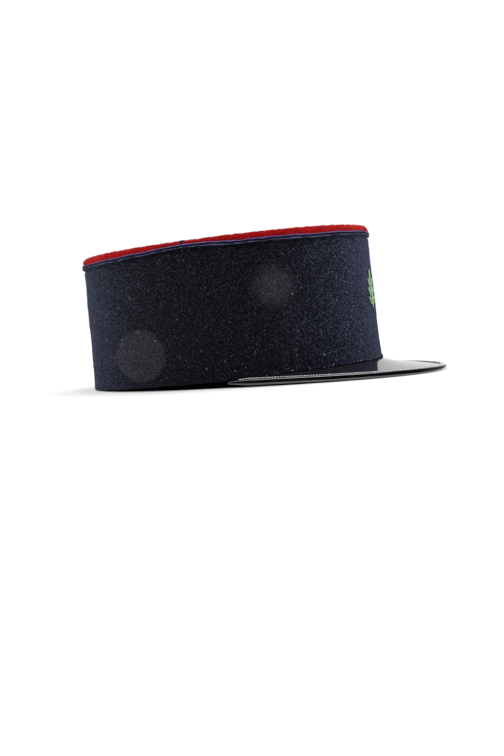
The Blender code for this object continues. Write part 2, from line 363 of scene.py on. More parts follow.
def joined(parts):
    """Vertices and faces of several meshes as one."""
    vertices, faces = [], []
    for points, sides in parts:
        first = sum(len(made) for made in vertices)
        faces += [[first + corner for corner in side] for side in sides]
        vertices.append(points)
    return np.concatenate(vertices), faces


def tube_tones(tones, steps, sides):
    """UVs that hold one tone for each tube that tubes() makes."""
    around = np.repeat(tones, (steps - 1) * sides * 4)
    ends = np.repeat(tones, 2 * sides)
    both = np.concatenate([around, ends])
    return [np.stack([both, np.zeros_like(both)], 1)]


def fibres(starts, middles, ends, radii):
    """Vertices and faces of short bent fibres, pointed at both ends."""
    count = len(starts)
    along = unit(ends - starts)
    aside = unit(np.cross(along, np.array([0.31, 0.52, 0.79])))
    other = np.cross(along, aside)
    ring = [middles + (aside * math.cos(turn) + other * math.sin(turn)) * radii[:, None]
            for turn in (0.0, math.tau / 3, 2 * math.tau / 3)]
    vertices = np.stack([starts, *ring, ends], 1).reshape(-1, 3)
    pattern = np.array([(0, 1, 2), (0, 2, 3), (0, 3, 1), (4, 2, 1), (4, 3, 2), (4, 1, 3)])
    faces = (pattern[None] + 5 * np.arange(count)[:, None, None]).reshape(-1, 3)
    return vertices, faces.tolist()


# Materials; the id_data of a node or socket is the node tree that it belongs to

def feed(made, values):
    """Link or set a node's inputs."""
    for name, value in values.items():
        if isinstance(value, bpy.types.NodeSocket):
            made.id_data.links.new(value, made.inputs[name])
        else:
            made.inputs[name].default_value = value


def node(tree, kind, values=None, **settings):
    """A shader node with its settings and its inputs."""
    made = tree.nodes.new("ShaderNode" + kind)
    for name, value in settings.items():
        setattr(made, name, value)
    feed(made, values or {})
    return made


def new_material(name):
    """A material, its shader, and the place in the object."""
    made = bpy.data.materials.new(name)
    made.use_nodes = True
    shader = made.node_tree.nodes["Principled BSDF"]
    return made, shader, coordinates(shader, "Object")


def coordinates(shader, kind):
    return node(shader.id_data, "TexCoord").outputs[kind]


def parts_of(vector):
    return node(vector.id_data, "SeparateXYZ", {0: vector}).outputs


def noise(place, scale, detail=3.0, rough=0.6):
    """Noise with a scale in waves for each metre."""
    return node(place.id_data, "TexNoise", {"Vector": place, "Scale": scale, "Detail": detail,
                                            "Roughness": rough}).outputs["Fac"]


def ramp(value, stops):
    """A colour ramp; stops are (place, colour or grey)."""
    made = node(value.id_data, "ValToRGB", {"Fac": value})
    elements = made.color_ramp.elements
    while len(elements) < len(stops):
        elements.new(0.5)
    for element, (place, colour) in zip(elements, stops):
        element.position = place
        grey = isinstance(colour, float)
        element.color = (colour, colour, colour, 1.0) if grey else (*colour, 1.0)
    return made.outputs["Color"]


def maths(operation, first, second=0.0):
    return node(first.id_data, "Math", {0: first, 1: second}, operation=operation).outputs[0]


def vector_maths(operation, first, second):
    made = node(first.id_data, "VectorMath", {0: first, 1: second}, operation=operation)
    return made.outputs["Value" if operation == "DOT_PRODUCT" else "Vector"]


def span(value, start, end, low=0.0, high=1.0):
    """Carry a value from one range to another, and hold it at the ends."""
    return node(value.id_data, "MapRange", {"Value": value, "From Min": start, "From Max": end,
                                            "To Min": low, "To Max": high}).outputs[0]


def mixed(share, first, second, blend="MIX"):
    socket = first if isinstance(share, float) else share
    made = node(socket.id_data, "Mix", data_type="RGBA", blend_type=blend)
    feed(made, {0: share, 6: first, 7: second})
    return made.outputs[2]


def times(first, second):
    return mixed(1.0, first, second, "MULTIPLY")


def bump(shader, height, distance, strength):
    made = node(shader.id_data, "Bump",
                {"Height": height, "Distance": distance, "Strength": strength})
    feed(shader, {"Normal": made.outputs[0]})
    return made.outputs[0]


THREAD_PITCH = 0.8 * MM    # along the braid
THREAD_SLANT = 2.6         # threads that the slant crosses from edge to edge
# Painted light: round glows of lens flare on the navy wool, drawn along a level axis towards the
# camera so that they look round
GLOW_AXIS = (-0.951, -0.309, 0.0)   # level, from the cap towards the camera
GLOW_STRETCH = 0.97        # 1 draws a glow straight through, 0 as a ball
GLOW_TONES = ((0.35, (0.030, 0.029, 0.031)), (0.68, (0.19, 0.185, 0.20)))
# Curls made stronger towards the two ends lighten the wool and bring out its grain there: painted
# light where the light grazes the cloth
CURLY_MIDDLE = 0.088       # how strong the curling fibres are half way along the cap
CURLY_END = 0.125          # and near its two ends
# Painted light across the navy braid: painted highlights on the two ribs, the upper one brighter as
# it faces the light from above, and painted shade in the groove and along both edges
SOUTACHE_PAINTED_SHADING = (
    # share of the braid's height, colour
    (0.0, (0.001, 0.001, 0.004)),
    (0.10, (0.008, 0.007, 0.026)),
    (0.18, (0.095, 0.100, 0.190)),
    (0.28, (0.090, 0.095, 0.180)),
    (0.36, (0.004, 0.004, 0.026)),
    (0.68, (0.003, 0.003, 0.024)),
    (0.78, (0.070, 0.060, 0.160)),
    (0.88, (0.200, 0.140, 0.310)),
    (0.96, (0.060, 0.040, 0.090)),
)


def lens_glow(place, centre, radius, core):
    """A round glow of painted lens-flare light, laid across the curve of the cloth; core is its even
    middle's share.
    """
    tree = place.id_data
    offset = vector_maths("SUBTRACT", place, tuple(centre))
    along = vector_maths("DOT_PRODUCT", offset, GLOW_AXIS)
    depth = maths("MULTIPLY", along, -GLOW_STRETCH)
    back = node(tree, "VectorMath", {0: GLOW_AXIS, "Scale": depth}, operation="SCALE").outputs[0]
    flat = vector_maths("ADD", offset, back)
    away = node(tree, "VectorMath", {0: flat}, operation="LENGTH")
    share = node(tree, "MapRange", {"Value": away.outputs["Value"], "From Min": radius,
                                    "From Max": radius * core}, interpolation_type="SMOOTHSTEP")
    near = maths("GREATER_THAN", along, -radius * 2)
    return maths("MULTIPLY", share.outputs[0], near)


def worms(place, scale):
    """Thin curling lines, like felted fibres."""
    field = noise(place, scale, 1.0, 0.5)
    near = maths("ABSOLUTE", maths("SUBTRACT", field, 0.5))
    return ramp(near, ((0.0, 1.0), (0.07, 0.6), (0.15, 0.0)))


def wool(name, dark, middle, pale, sheen, tint, painted_light=(), lens_glows=()):
    """Felted wool: a salt-and-pepper grain, a faint diagonal twill and a soft nap.

    Each band of painted light, which lightens one end of the cap, is where it starts and ends,
    measured forwards, and the colour it multiplies by.
    """
    made, shader, place = new_material(name)
    ahead = vector_maths("DOT_PRODUCT", place, (0.0, -1.0, 0.0))
    curly = span(maths("ABSOLUTE", ahead), 0.025, 0.090, CURLY_MIDDLE, CURLY_END)
    curls = maths("ADD", worms(place, 620.0), worms(place, 900.0))
    grain = maths("ADD", noise(place, 1100.0, 4.0, 0.8), maths("MULTIPLY", curls, curly))
    clouds = noise(place, 95.0)
    colour = ramp(grain, ((0.54, dark), (0.655, middle), (0.77, pale)))
    colour = times(colour, ramp(clouds, ((0.3, 0.86), (0.7, 1.14))))
    # Painted light: the wool is made lighter and bluer towards the front and the back, where the
    # light falls on it
    for start, end, gain in painted_light:
        tone_shift = times(colour, (*gain, 1.0))
        colour = mixed(span(ahead, start, end), colour, tone_shift)
    twill = node(shader.id_data, "TexWave",
                 {"Vector": coordinates(shader, "UV"), "Scale": 260.0, "Distortion": 2.5,
                  "Detail": 2.0, "Detail Scale": 3.0}, bands_direction="DIAGONAL").outputs["Fac"]
    colour = times(colour, ramp(twill, ((0.0, 0.86), (1.0, 1.12))))
    # Painted light: the lens-flare glows add paler grey to the colour
    for centre, radius, core, strength in lens_glows:
        share = maths("MULTIPLY", lens_glow(place, centre, radius, core), strength)
        colour = mixed(share, colour, ramp(grain, GLOW_TONES), "ADD")
    feed(shader, {"Base Color": colour, "Roughness": 0.95, "Specular IOR Level": 0.15,
                  "Sheen Weight": sheen, "Sheen Roughness": 0.45, "Sheen Tint": (*tint, 1.0)})
    height = maths("ADD", maths("MULTIPLY", twill, 0.25), grain)
    bump(shader, height, 0.35 * MM, 0.8)
    return made


def nap(name, dark, pale):
    """Loose fibres of the cloth."""
    made, shader, place = new_material(name)
    tone = ramp(noise(place, 420.0, 2.0, 0.7), ((0.35, dark), (0.68, pale)))
    rough = ramp(noise(place, 900.0), ((0.3, 0.6), (0.7, 0.9)))
    feed(shader, {"Base Color": tone, "Roughness": rough, "Specular IOR Level": 0.25})
    return made


def soutache(name, gain):
    """Plaited braid: two ribs with painted highlights, the lower one patchy, and painted shade in the
    groove between, along the edges and between the threads.
    """
    made, shader, place = new_material(name)
    along, across, _ = parts_of(coordinates(shader, "UV"))
    tone = ramp(across, [(stop, tuple(gain * part for part in colour))
                         for stop, colour in SOUTACHE_PAINTED_SHADING])
    slant = maths("ABSOLUTE", maths("SUBTRACT", across, 0.5))
    turns = maths("ADD", maths("DIVIDE", along, THREAD_PITCH), maths("MULTIPLY", slant, THREAD_SLANT))
    threads = maths("ABSOLUTE", maths("SINE", maths("MULTIPLY", turns, math.pi)))
    fuzz = noise(place, 900.0, 3.0, 0.7)
    tone_shift = noise(place, 120.0, 2.0, 0.5)
    # The thread pattern darkens the colour between the threads' crests: painted shade in those dips
    for field, stops in ((threads, ((0.0, 0.45), (0.6, 1.1))), (fuzz, ((0.3, 0.6), (0.7, 1.45))),
                         (tone_shift, ((0.3, 0.75), (0.7, 1.3)))):
        tone = times(tone, ramp(field, stops))
    lower = maths("LESS_THAN", across, 0.5)
    patchy = ramp(noise(place, 170.0, 2.0, 0.6), ((0.40, 0.30), (0.60, 1.35)))
    tone = mixed(lower, tone, times(tone, patchy))
    feed(shader, {"Base Color": tone, "Roughness": 0.7, "Specular IOR Level": 0.12})
    bump(shader, maths("ADD", threads, maths("MULTIPLY", fuzz, 0.5)), 0.18 * MM, 0.8)
    return made


def patent(name, base, rough, dust, under, coat):
    """Glossy patent leather: a clear coat over black, with faint waves and a little dust."""
    made, shader, place = new_material(name)
    specks = noise(place, 700.0, 2.0, 0.5)
    dusty = ramp(specks, ((0.71, 0.0), (0.83, dust)))
    colour = mixed(dusty, (*base, 1.0), (0.30, 0.30, 0.31, 1.0))
    smears = noise(place, 55.0, 4.0, 0.65)
    smeared = ramp(smears, ((0.35, rough[0]), (0.7, rough[1])))
    feed(shader, {"Base Color": colour, "Roughness": smeared, "Specular IOR Level": under,
                  "Coat Weight": coat, "Coat Roughness": 0.02, "Coat IOR": 1.6})
    waves = noise(place, 38.0, 2.0, 0.45)
    peel = noise(place, 420.0, 2.0, 0.5)
    height = maths("ADD", waves, maths("MULTIPLY", peel, 0.02))
    feed(shader, {"Coat Normal": bump(shader, height, 0.5 * MM, 0.5)})
    return made


def thread(name, dark, pale, sheen=0.2):
    """Shiny embroidery cotton, its tone changing a little from stitch to stitch."""
    made, shader, place = new_material(name)
    own = parts_of(coordinates(shader, "UV"))[0]
    tone = maths("ADD", noise(place, 650.0, 2.0, 0.6), maths("MULTIPLY", own, 0.25))
    fine = noise(place, 3800.0, 2.0, 0.6)
    feed(shader, {"Base Color": ramp(tone, ((0.36, dark), (0.74, pale))),
                  "Roughness": ramp(fine, ((0.3, 0.42), (0.7, 0.65))), "Sheen Weight": sheen})
    bump(shader, fine, 0.05 * MM, 0.6)
    return made


# Painted light: two round glows of lens flare, painted on the navy wool as paler grey discs
LENS_GLOWS = (
    # angle from the front in degrees, height above the rim, radius, even core, strength
    (112.4, 21.3 * MM, 18.3 * MM, 0.86, 0.135),
    (59.5, 57.0 * MM, 17.5 * MM, 0.3, 0.16),
)
# Painted light: the navy wool made lighter and bluer towards the front, and lighter towards the back
PAINTED_LIGHT_BANDS = (
    # start and end forwards of the middle, colour gain
    (0.030, 0.092, (1.7, 1.9, 2.4)),
    (-0.066, -0.100, (1.3, 1.35, 1.5)),
)
glow_spots = [(CAP @ Vector(wall_point(math.radians(turn), height, 0.0)), radius, core, strength)
         for turn, height, radius, core, strength in LENS_GLOWS]
navy_wool = wool("navy_wool", dark=(0.0003, 0.0003, 0.0005), middle=(0.0034, 0.0033, 0.0056),
                 pale=(0.062, 0.063, 0.092), sheen=0.105, tint=(0.38, 0.52, 1.0),
                 painted_light=PAINTED_LIGHT_BANDS, lens_glows=glow_spots)
red_wool = wool("red_wool", dark=(0.20, 0.0015, 0.0024), middle=(0.42, 0.0037, 0.0055),
                pale=(0.64, 0.018, 0.016), sheen=0.03, tint=(1.0, 0.22, 0.12))
navy_nap = nap("navy_nap", dark=(0.003, 0.003, 0.006), pale=(0.060, 0.062, 0.10))
red_nap = nap("red_nap", dark=(0.30, 0.004, 0.005), pale=(0.85, 0.05, 0.035))
braid = soutache("soutache", gain=1.0)
# The cross braids: the same braid at about a third of its brightness, painted shade
shaded_braid = soutache("shaded_soutache", gain=0.35)
peak_gloss = patent("peak_gloss", base=(0.012, 0.011, 0.013), rough=(0.06, 0.16), dust=0.3,
                    under=0.06, coat=0.47)
bead_gloss = patent("bead_gloss", base=(0.003, 0.003, 0.0035), rough=(0.04, 0.08), dust=0.25,
                    under=1.0, coat=1.0)
bead_thread = thread("bead_thread", dark=(0.50, 0.50, 0.53), pale=(0.96, 0.96, 0.99), sheen=0.3)
satin_green = thread("satin_green", dark=(0.035, 0.16, 0.025), pale=(0.16, 0.44, 0.10))
# The padding: the green thread at under half its brightness, painted shade in the gaps between the
# stitches
shaded_padding = thread("shaded_padding", dark=(0.02, 0.08, 0.015), pale=(0.05, 0.17, 0.03))
pale_green = thread("pale_green", dark=(0.55, 0.78, 0.46), pale=(0.88, 0.96, 0.82))
lint_grey = nap("lint_grey", dark=(0.32, 0.33, 0.36), pale=(0.80, 0.82, 0.88))


# The navy wall

AROUND = 760
WALL_STOPS = (
    # share of the wall's height, share of its rows
    (0.0, 0.0),
    (0.075, 0.19),
    (0.955, 0.88),
    (1.0, 1.0),
)
WALL_ROWS = 100
RIM_TURNS = np.radians([0.0, 30.0, 60.0, 90.0])
INNER_ROWS = 14
FLARE = 0.80 * MM
FLARE_TALL = 2.4 * MM
HEM_TURN = 2.0 * MM        # the wool's pattern runs on by this much under the rim
SETTLE = 0.22 * MM         # how far the cloth sinks into the gap over the peak
STEADY = 2.0 * MM          # the cloth's unevenness grows over this height from the rim
CREASE = 1.35 * MM         # depth, distance below the braid, and height of the crease there
CREASE_BELOW = 0.5 * MM
CREASE_TALL = 0.95 * MM
RIDGE = 0.42 * MM          # the hem's lumpy ridge: how far it stands out, its height above the
RIDGE_LINE = 0.7 * MM      # edge, how much that wanders, and how tall it is
RIDGE_WANDER = 0.15 * MM
RIDGE_TALL = 1.1 * MM
RIDGE_WAVE = 17.0 * MM
LUMP = 0.3                 # unevenness of the ridge, as a share, and its wavelength
LUMP_WAVE = 8.0 * MM
CLOTH_WAVES = (
    # height, wavelength, seed
    (0.10 * MM, 24.0 * MM, 1),
    (0.055 * MM, 5.0 * MM, 2),
    (0.035 * MM, 2.2 * MM, 3),
)
BULGE = 0.6 * MM           # of the red side, over its padding
BULGE_RISE = 1.8 * MM      # above the braid, until it is full


def cloth_ripple(points):
    """Small unevenness of the felted cloth."""
    return ripples(points, CLOTH_WAVES)


def hem(angle, above, points):
    """The turned hem over the peak: a swelling at the edge and a lumpy ridge above it."""
    front = np.maximum(0.0, np.cos(angle))
    swell = HEM_PROUD * front * np.maximum(0.0, 1 - above / HEM_TALL) ** 2
    line = RIDGE_LINE + RIDGE_WANDER * ripple(points, RIDGE_WAVE, 4)
    lumps = 0.85 + LUMP * ripple(points * np.array([1.0, 1.0, 0.3]), LUMP_WAVE, 5)
    ridge = RIDGE * np.sqrt(front) * np.maximum(0.0, lumps)
    return swell + ridge * np.exp(-((above - line) / RIDGE_TALL) ** 2)


def flare(below_joint):
    """The cloth stands out towards the top's edge, with a crease right under the braid."""
    crease = np.exp(-((below_joint - BRAID_TALL / 2 - CREASE_BELOW) / CREASE_TALL) ** 2)
    return FLARE * np.exp(-np.maximum(0.0, below_joint) / FLARE_TALL) - CREASE * crease


def build_wall():
    angle = even_angles(AROUND)[:, None]
    low = lower_edge(angle) - np.minimum(SETTLE, lower_edge(angle))
    top = joint_height(angle)
    first = RIM_ROUND * (1 - np.cos(RIM_TURNS))
    heights, rows = zip(*WALL_STOPS)
    share = np.interp(np.linspace(0.0, 1.0, WALL_ROWS), rows, heights)
    above = np.concatenate([np.broadcast_to(first, (AROUND, len(first))),
                            RIM_ROUND + share[1:] * (top - low - RIM_ROUND)], 1)
    inwards = np.concatenate([RIM_ROUND * (1 - np.sin(RIM_TURNS)), np.zeros(WALL_ROWS - 1)])
    z = low + above
    plain = wall_point(angle, z, 0.0)
    steady = np.clip(above / STEADY, 0.0, 1.0)
    out = cloth_ripple(plain) * steady + hem(angle, above, plain) + flare(top - z) - inwards
    outer = wall_point(angle, z, out)
    down = np.linspace(1.0, 0.0, INNER_ROWS)
    inner_z = low + RIM_ROUND + down * (top - low - RIM_ROUND)
    inner = wall_point(angle, inner_z, -WALL)
    foot = wall_point(angle, low, -WALL + RIM_ROUND)
    points = np.concatenate([outer, inner, foot], 1)
    return grid_piece("wall_cloth", points, arcs_round(angle), closed_length(points[0], HEM_TURN),
                      navy_wool, "navy_cloth", ["crown_wall"], 1)


# The red top

TOP_AROUND = 680
TOP_RINGS = 50
UNDER_RINGS = 8
SIDE_ROWS = 4
TOP_SWELL = 0.28 * MM      # slow unevenness of the flat top
TOP_WAVES = (
    # height, wavelength, seed
    (0.08 * MM, 4.5 * MM, 7),
    (0.06 * MM, 2.2 * MM, 8),
    (0.08 * MM, 11.0 * MM, 9),
)


def eased(share):
    return share * share * (3 - 2 * share)


def top_point(angle, inset, drop):
    x, y = oval(angle, 1 - drop / crown_height(angle), -inset)
    return np.stack([x, y, top_plane(y) - drop], -1)


def top_profile():
    """Inset and drop over the rounded edge and down the step."""
    turns = np.radians(np.linspace(0.0, 90.0, 11))
    roll = [(EDGE_ROUND * (1 - math.cos(t)), EDGE_ROUND * (1 - math.sin(t))) for t in turns]
    flat = [(EDGE_ROUND + EDGE_FLAT * share, 0.0) for share in (0.35, 0.7, 1.0)]
    step = []
    for share in np.linspace(0.0, 1.0, 8)[1:]:
        step.append((EDGE_ROUND + EDGE_FLAT + STEP_RUN * share, SINK * eased(share)))
    return np.array(roll + flat + step)


def inside_profile(profile):
    """The same profile on the cloth's inner side."""
    along = np.gradient(profile, axis=0)
    inwards = np.stack([-along[:, 1], along[:, 0]], 1)
    return profile + unit(inwards) * TOP_CLOTH


def bulge(inset, drop, start):
    """How far the padded red side stands out between the braid and the rounded edge."""
    rise = np.clip((start - drop) / BULGE_RISE, 0.0, 1.0)
    return BULGE * eased(rise) * np.clip(1 - inset / EDGE_ROUND, 0.0, 1.0)


def disc(ring, shares):
    """Rings from a closed line towards its middle, at one height over the top's plane."""
    centre = np.array([0.0, ring[:, 1].mean(), 0.0])
    spread = (ring - centre)[:, None] * shares[:, None] + centre
    height = ring[:, 2] - top_plane(ring[:, 1])
    spread[..., 2] = top_plane(spread[..., 1]) + height.mean()
    return spread


def build_top():
    angle = even_angles(TOP_AROUND)[:, None]
    start = crown_height(angle) - joint_height(angle) - GAP
    profile = top_profile()
    inner = inside_profile(profile)
    side = np.arange(SIDE_ROWS) / SIDE_ROWS
    side_drop = start + side * (EDGE_ROUND - start)
    shape = (TOP_AROUND, len(profile))
    outer_drop = np.concatenate([side_drop, np.broadcast_to(profile[:, 1], shape)], 1)
    outer_inset = np.concatenate([np.zeros(SIDE_ROWS), profile[:, 0]])
    outer = top_point(angle, outer_inset - bulge(outer_inset, outer_drop, start), outer_drop)
    inner_drop = np.concatenate([start, np.broadcast_to(inner[:, 1], shape)], 1)
    inner_inset = np.concatenate([[TOP_CLOTH], inner[:, 0]])
    under = top_point(angle, inner_inset, inner_drop)
    shares = np.linspace(1.0, 0.0, TOP_RINGS)[1:] ** 0.9
    few = np.linspace(1.0, 0.0, UNDER_RINGS)[1:]
    flat_out = disc(outer[:, -1], shares)
    flat_in = disc(under[:, -1], few)
    flat_out[..., 2] += TOP_SWELL * ripple(flat_out, 40.0 * MM, 6) * (1 - shares ** 6)
    skin = np.concatenate([flat_out[:, ::-1], outer[:, ::-1]], 1)
    outwards = unit(np.cross(np.roll(skin, -1, 0) - np.roll(skin, 1, 0),
                             np.gradient(skin, axis=1)))
    outwards[:, 0] = UP
    facing = np.sign((outwards * UP).sum(-1).mean())
    steady = np.ones(skin.shape[1])
    steady[0] = 0.0
    steady[-3:] = (0.6, 0.3, 0.0)
    skin = skin + outwards * facing * (ripples(skin, TOP_WAVES) * steady)[..., None]
    points = np.concatenate([skin, under, flat_in], 1)
    return grid_piece("top_cloth", points, arcs_round(angle), run_length(points[0]), red_wool,
                      "red_cloth", ["crown_top"], 1, 0)


# Braid

BRAID_STEPS = 2950
ACROSS = 15
BRAID_V = np.append(np.linspace(0.0, 1.0, ACROSS), 1.0)
CROSS_SHARE = 0.35         # the cross braids are pressed flatter
CROSS_STEPS = 56
CROSS_ROUND = 0.5 * MM     # their ends thin down over this length
THREAD_PROUD = 0.09 * MM
WOBBLE_WAVES = (
    # height, wavelength, seed
    (0.14 * MM, 19.0 * MM, 10),
    (0.07 * MM, 6.0 * MM, 11),
)
WIDTH_WAVES = ((0.05, 9.0 * MM, 12),)   # as a share of the braid's height
FUZZ_WAVES = ((0.05 * MM, 3.0 * MM, 13),)


def braid_section():
    """Across the braid: share of its height, and how far it stands out."""
    across = np.linspace(-0.5, 0.5, ACROSS)
    out = 0.80 - 0.20 * np.cos(2 * math.tau * across)
    out[[0, -1]] = 0.0
    out[[1, -2]] *= 0.9
    across[[0, -1]] = (-0.48, 0.48)
    across[[1, -2]] = (-0.46, 0.46)
    return across, out


def thread_bumps(along, across):
    turns = along / THREAD_PITCH + np.abs(across) * THREAD_SLANT
    return THREAD_PROUD * np.abs(np.sin(math.pi * turns))


def build_edge_braid():
    angle = even_angles(BRAID_STEPS)[:, None]
    across, out = braid_section()
    along = arc_of(angle)
    plain = wall_point(angle, joint_height(angle), 0.0)
    width = BRAID_TALL * (1 + ripples(plain, WIDTH_WAVES))
    height = joint_height(angle) + ripples(plain, WOBBLE_WAVES) + width * across
    stand = GAP + BRAID_PROUD * out + thread_bumps(along, across) * (out > 0)
    points = wall_point(angle, height, stand + ripples(plain, FUZZ_WAVES))
    return grid_piece("edge_soutache", points, arcs_round(angle), BRAID_V, braid, "navy_braid",
                      ["edge_braid"], 1)


def build_cross_braid(name, degrees):
    """A short braid from the edge braid over the red edge, its end turned under at the step."""
    angle = np.array(math.radians(degrees))
    profile = top_profile()
    profile = profile[profile[:, 0] <= EDGE_ROUND + EDGE_FLAT + 1e-9]
    foot = np.array([[0.0, float(strip_height(angle)) - GAP]])
    inset, drop = np.concatenate([foot, profile]).T
    start = crown_height(angle) - joint_height(angle) - GAP
    path = top_point(angle, inset - bulge(inset, drop, start), drop)
    lengths = run_length(path)
    steps = np.linspace(0.0, lengths[-1], CROSS_STEPS)
    path = resampled(path, lengths, steps)
    outwards = wall_point(angle, 0.0, 1.0) - wall_point(angle, 0.0, 0.0)
    side = np.cross(outwards, UP)
    normal = unit(np.cross(np.gradient(path, axis=0), side))
    across, out = braid_section()
    ends = np.clip(np.minimum(steps, steps[-1] - steps) / CROSS_ROUND, 0.0, 1.0)
    ends = np.sqrt(1 - (1 - ends) ** 2) * 0.75 + 0.25
    stand = (BRAID_PROUD * out + thread_bumps(steps[:, None], across) * (out > 0)
             ) * ends[:, None] * CROSS_SHARE
    width = BRAID_TALL * across * (0.92 + 0.08 * ends[:, None])
    points = (path[:, None] + normal[:, None] * stand[..., None]
              + side * width[..., None])
    return grid_piece(name.replace("braid", "soutache"), points, steps, BRAID_V, shaded_braid,
                      "navy_braid", [name], 0)


# The peak and its binding

RIBS = 420
PLATE_STEPS = 26
HOLLOW = 0.85 * MM          # dip of the peak's top between the crown and the binding
HOLLOW_RIB = 40.0 * MM      # ribs this long or longer have the whole dip
DIP_GAIN = 27 / 4           # makes the greatest of share * (1 - share) ** 2 one


def build_peak():
    angle, edge, seat, inwards, thin = peak_ribs(RIBS)
    half = (thin * PLATE / 2)[:, None]
    rim = edge - inwards * half
    share = np.linspace(0.0, 1.0, PLATE_STEPS)[:, None]
    middle = seat[:, None] + (rim - seat)[:, None] * share
    length = np.minimum(1.0, np.linalg.norm(rim - seat, axis=-1) / HOLLOW_RIB)
    dip = HOLLOW * length[:, None] * DIP_GAIN * share[:, 0] * (1 - share[:, 0]) ** 2
    middle[..., 2] -= dip
    lift = half[..., None] * UP
    low = lower_edge(angle)
    inner = WALL + GAP
    plate = half[:, 0] * 2
    rise = np.linspace(1.0, 0.0, 6)
    hidden = [wall_point(angle, low - GAP + part * (FLANGE + GAP), -inner) for part in rise]
    under = [wall_point(angle, low - GAP - plate + part * (FLANGE + GAP + plate), -inner - plate)
             for part in rise[::-1]]
    points = np.concatenate([np.stack(hidden, 1), middle + lift, (middle - lift)[:, ::-1],
                             np.stack(under, 1)], 1)
    v = closed_length(points[RIBS // 2], PLATE)
    return grid_piece("peak_leather", points, run_length(edge), v, peak_gloss, "patent_leather",
                      ["peak"], 0)


BEAD = (
    # inwards and up, in half heights of the bead
    (0.45, 1.0),
    (-0.26, 0.98),
    (-0.56, 0.88),
    (-0.84, 0.22),
    (-0.86, -0.84),
    (-0.45, -1.0),
    (0.45, -1.0),
)
SKIRT = (
    # inwards as a share of the lip, fall as a share of its thickness
    (0.50, 0.0),
    (0.70, 0.15),
    (0.86, 0.38),
    (0.96, 0.62),
    (1.00, 0.85),
)


def bead_outline():
    """The bead's corners, cut three times so they turn softly."""
    outline = np.array(BEAD)
    for _ in range(3):
        ahead = outline[:-1] * 0.75 + outline[1:] * 0.25
        behind = outline[:-1] * 0.25 + outline[1:] * 0.75
        cut = np.stack([ahead, behind], 1).reshape(-1, 2)
        outline = np.concatenate([outline[:1], cut[1:-1], outline[-1:]])
    return outline


def build_binding():
    """The leather folded over the edge: a bead outside and a thinning lip above and below."""
    _, edge, _, inwards, thin = peak_ribs(RIBS)
    half = thin * (PLATE / 2 + BINDING) + GAP
    slot = thin * PLATE / 2 + GAP
    lip = thin * LIP
    thick = half - slot
    crumple = (0.05 * ripple(edge, 9.0 * MM, 14) - 0.1) * MM * thin
    outline = []
    for into, rise in bead_outline():
        outline.append(((half + crumple) * into, half * rise))
    for side in (-1, 1):
        rows = [(into * lip, side * (half - fall * thick)) for into, fall in SKIRT]
        rows.append((lip, side * slot))
        outline += rows if side < 0 else [(-slot, -slot), (-slot, slot)] + rows[::-1]
    points = np.stack([edge + inwards * np.broadcast_to(into, half.shape)[:, None]
                       + UP * np.broadcast_to(rise, half.shape)[:, None]
                       for into, rise in outline], 1)
    v = closed_length(points[RIBS // 2], MM)
    return grid_piece("edge_binding", points, run_length(edge), v, bead_gloss, "patent_binding",
                      ["peak_binding"], 0)


STITCH_PITCH = 1.9 * MM
STITCH_LONG = 1.55 * MM
STITCH_THICK = 0.42 * MM
STITCH_LINE = 0.34         # inwards, as a share of the lip
STITCH_ARCH = 0.16 * MM
STITCH_SUNK = 0.07 * MM    # how deep the row lies in the leather
STITCH_SHAPE = np.array([0.55, 1.0, 1.0, 1.0, 1.0, 0.55])


def build_stitches():
    """The row of stitches along the binding's upper lip."""
    _, edge, _, inwards, thin = peak_ribs(2001)
    lengths = run_length(edge)
    half = thin * (PLATE / 2 + BINDING) + GAP
    line = edge + inwards * (thin * LIP * STITCH_LINE)[:, None]
    line[:, 2] += half - STITCH_SUNK
    first = TAPER * 0.5
    starts = np.arange(first, lengths[-1] - first - STITCH_LONG, STITCH_PITCH)
    shares = np.linspace(0.0, 1.0, len(STITCH_SHAPE))
    places = starts[:, None] + shares * STITCH_LONG
    paths = resampled(line, lengths, places)
    paths[..., 2] += STITCH_ARCH * (np.sin(math.pi * shares) - 0.5)
    ups = np.broadcast_to(UP, paths.shape)
    radii = np.broadcast_to(STITCH_THICK * STITCH_SHAPE, paths.shape[:2])
    return add_piece("binding_stitches", *tubes(paths, ups, radii, 6), bead_thread,
                     "patent_binding")


# The embroidered sprig

def on_front(flat, out):
    """Points of the sprig's own plane (across, up) laid on the front of the crown."""
    z = SPRIG_CENTRE + flat[..., 1]
    half_width = RIM_WIDTH / 2 - SIDE_LEAN * z / crown_height(np.array(math.pi / 2))
    angle = -np.arcsin(signed_power(flat[..., 0] / half_width, FRONT_POWER / 2))
    return wall_point(angle, z, GAP + out)


def front_normal(flat):
    return unit(on_front(flat, 1.0) - on_front(flat, 0.0))


def leaves():
    """Root, direction, sideways and length of each leaf, in the sprig's plane."""
    foot = -SPRIG_TALL / 2
    rows = [(foot + SPRIG_TALL * (1 - TIP_LEAF), SPRIG_TALL * TIP_LEAF, 0.0)]
    for root, length, degrees in SPRIG_LEAVES:
        for side in (-1, 1):
            rows.append((foot + SPRIG_TALL * root, SPRIG_TALL * length,
                         side * math.radians(degrees)))
    made = []
    for root, length, turn in rows:
        ahead = np.array([math.sin(turn), math.cos(turn)])
        aside = np.array([ahead[1], -ahead[0]])
        made.append((np.array([0.0, root]), ahead, aside, length))
    return made


def leaf_half(share):
    return LEAF_SLIM / 2 * np.sin(math.pi * np.clip(share, 0.0, 1.0) ** 0.8)


STEM_FOOT = -SPRIG_TALL / 2
STEM_HEAD = STEM_FOOT + SPRIG_TALL * (1 - TIP_LEAF)
SATIN = 0.21 * MM          # half the width of a stitch
SATIN_SHAPE = np.array([0.8, 1.0, 1.0, 1.0, 1.0, 0.75])
SATIN_SPREAD = (0.03, 0.86)   # where along the leaf the stitches start
SATIN_SLANT = 0.16         # how much further along they end
LEAF_PROUD = 0.55 * MM


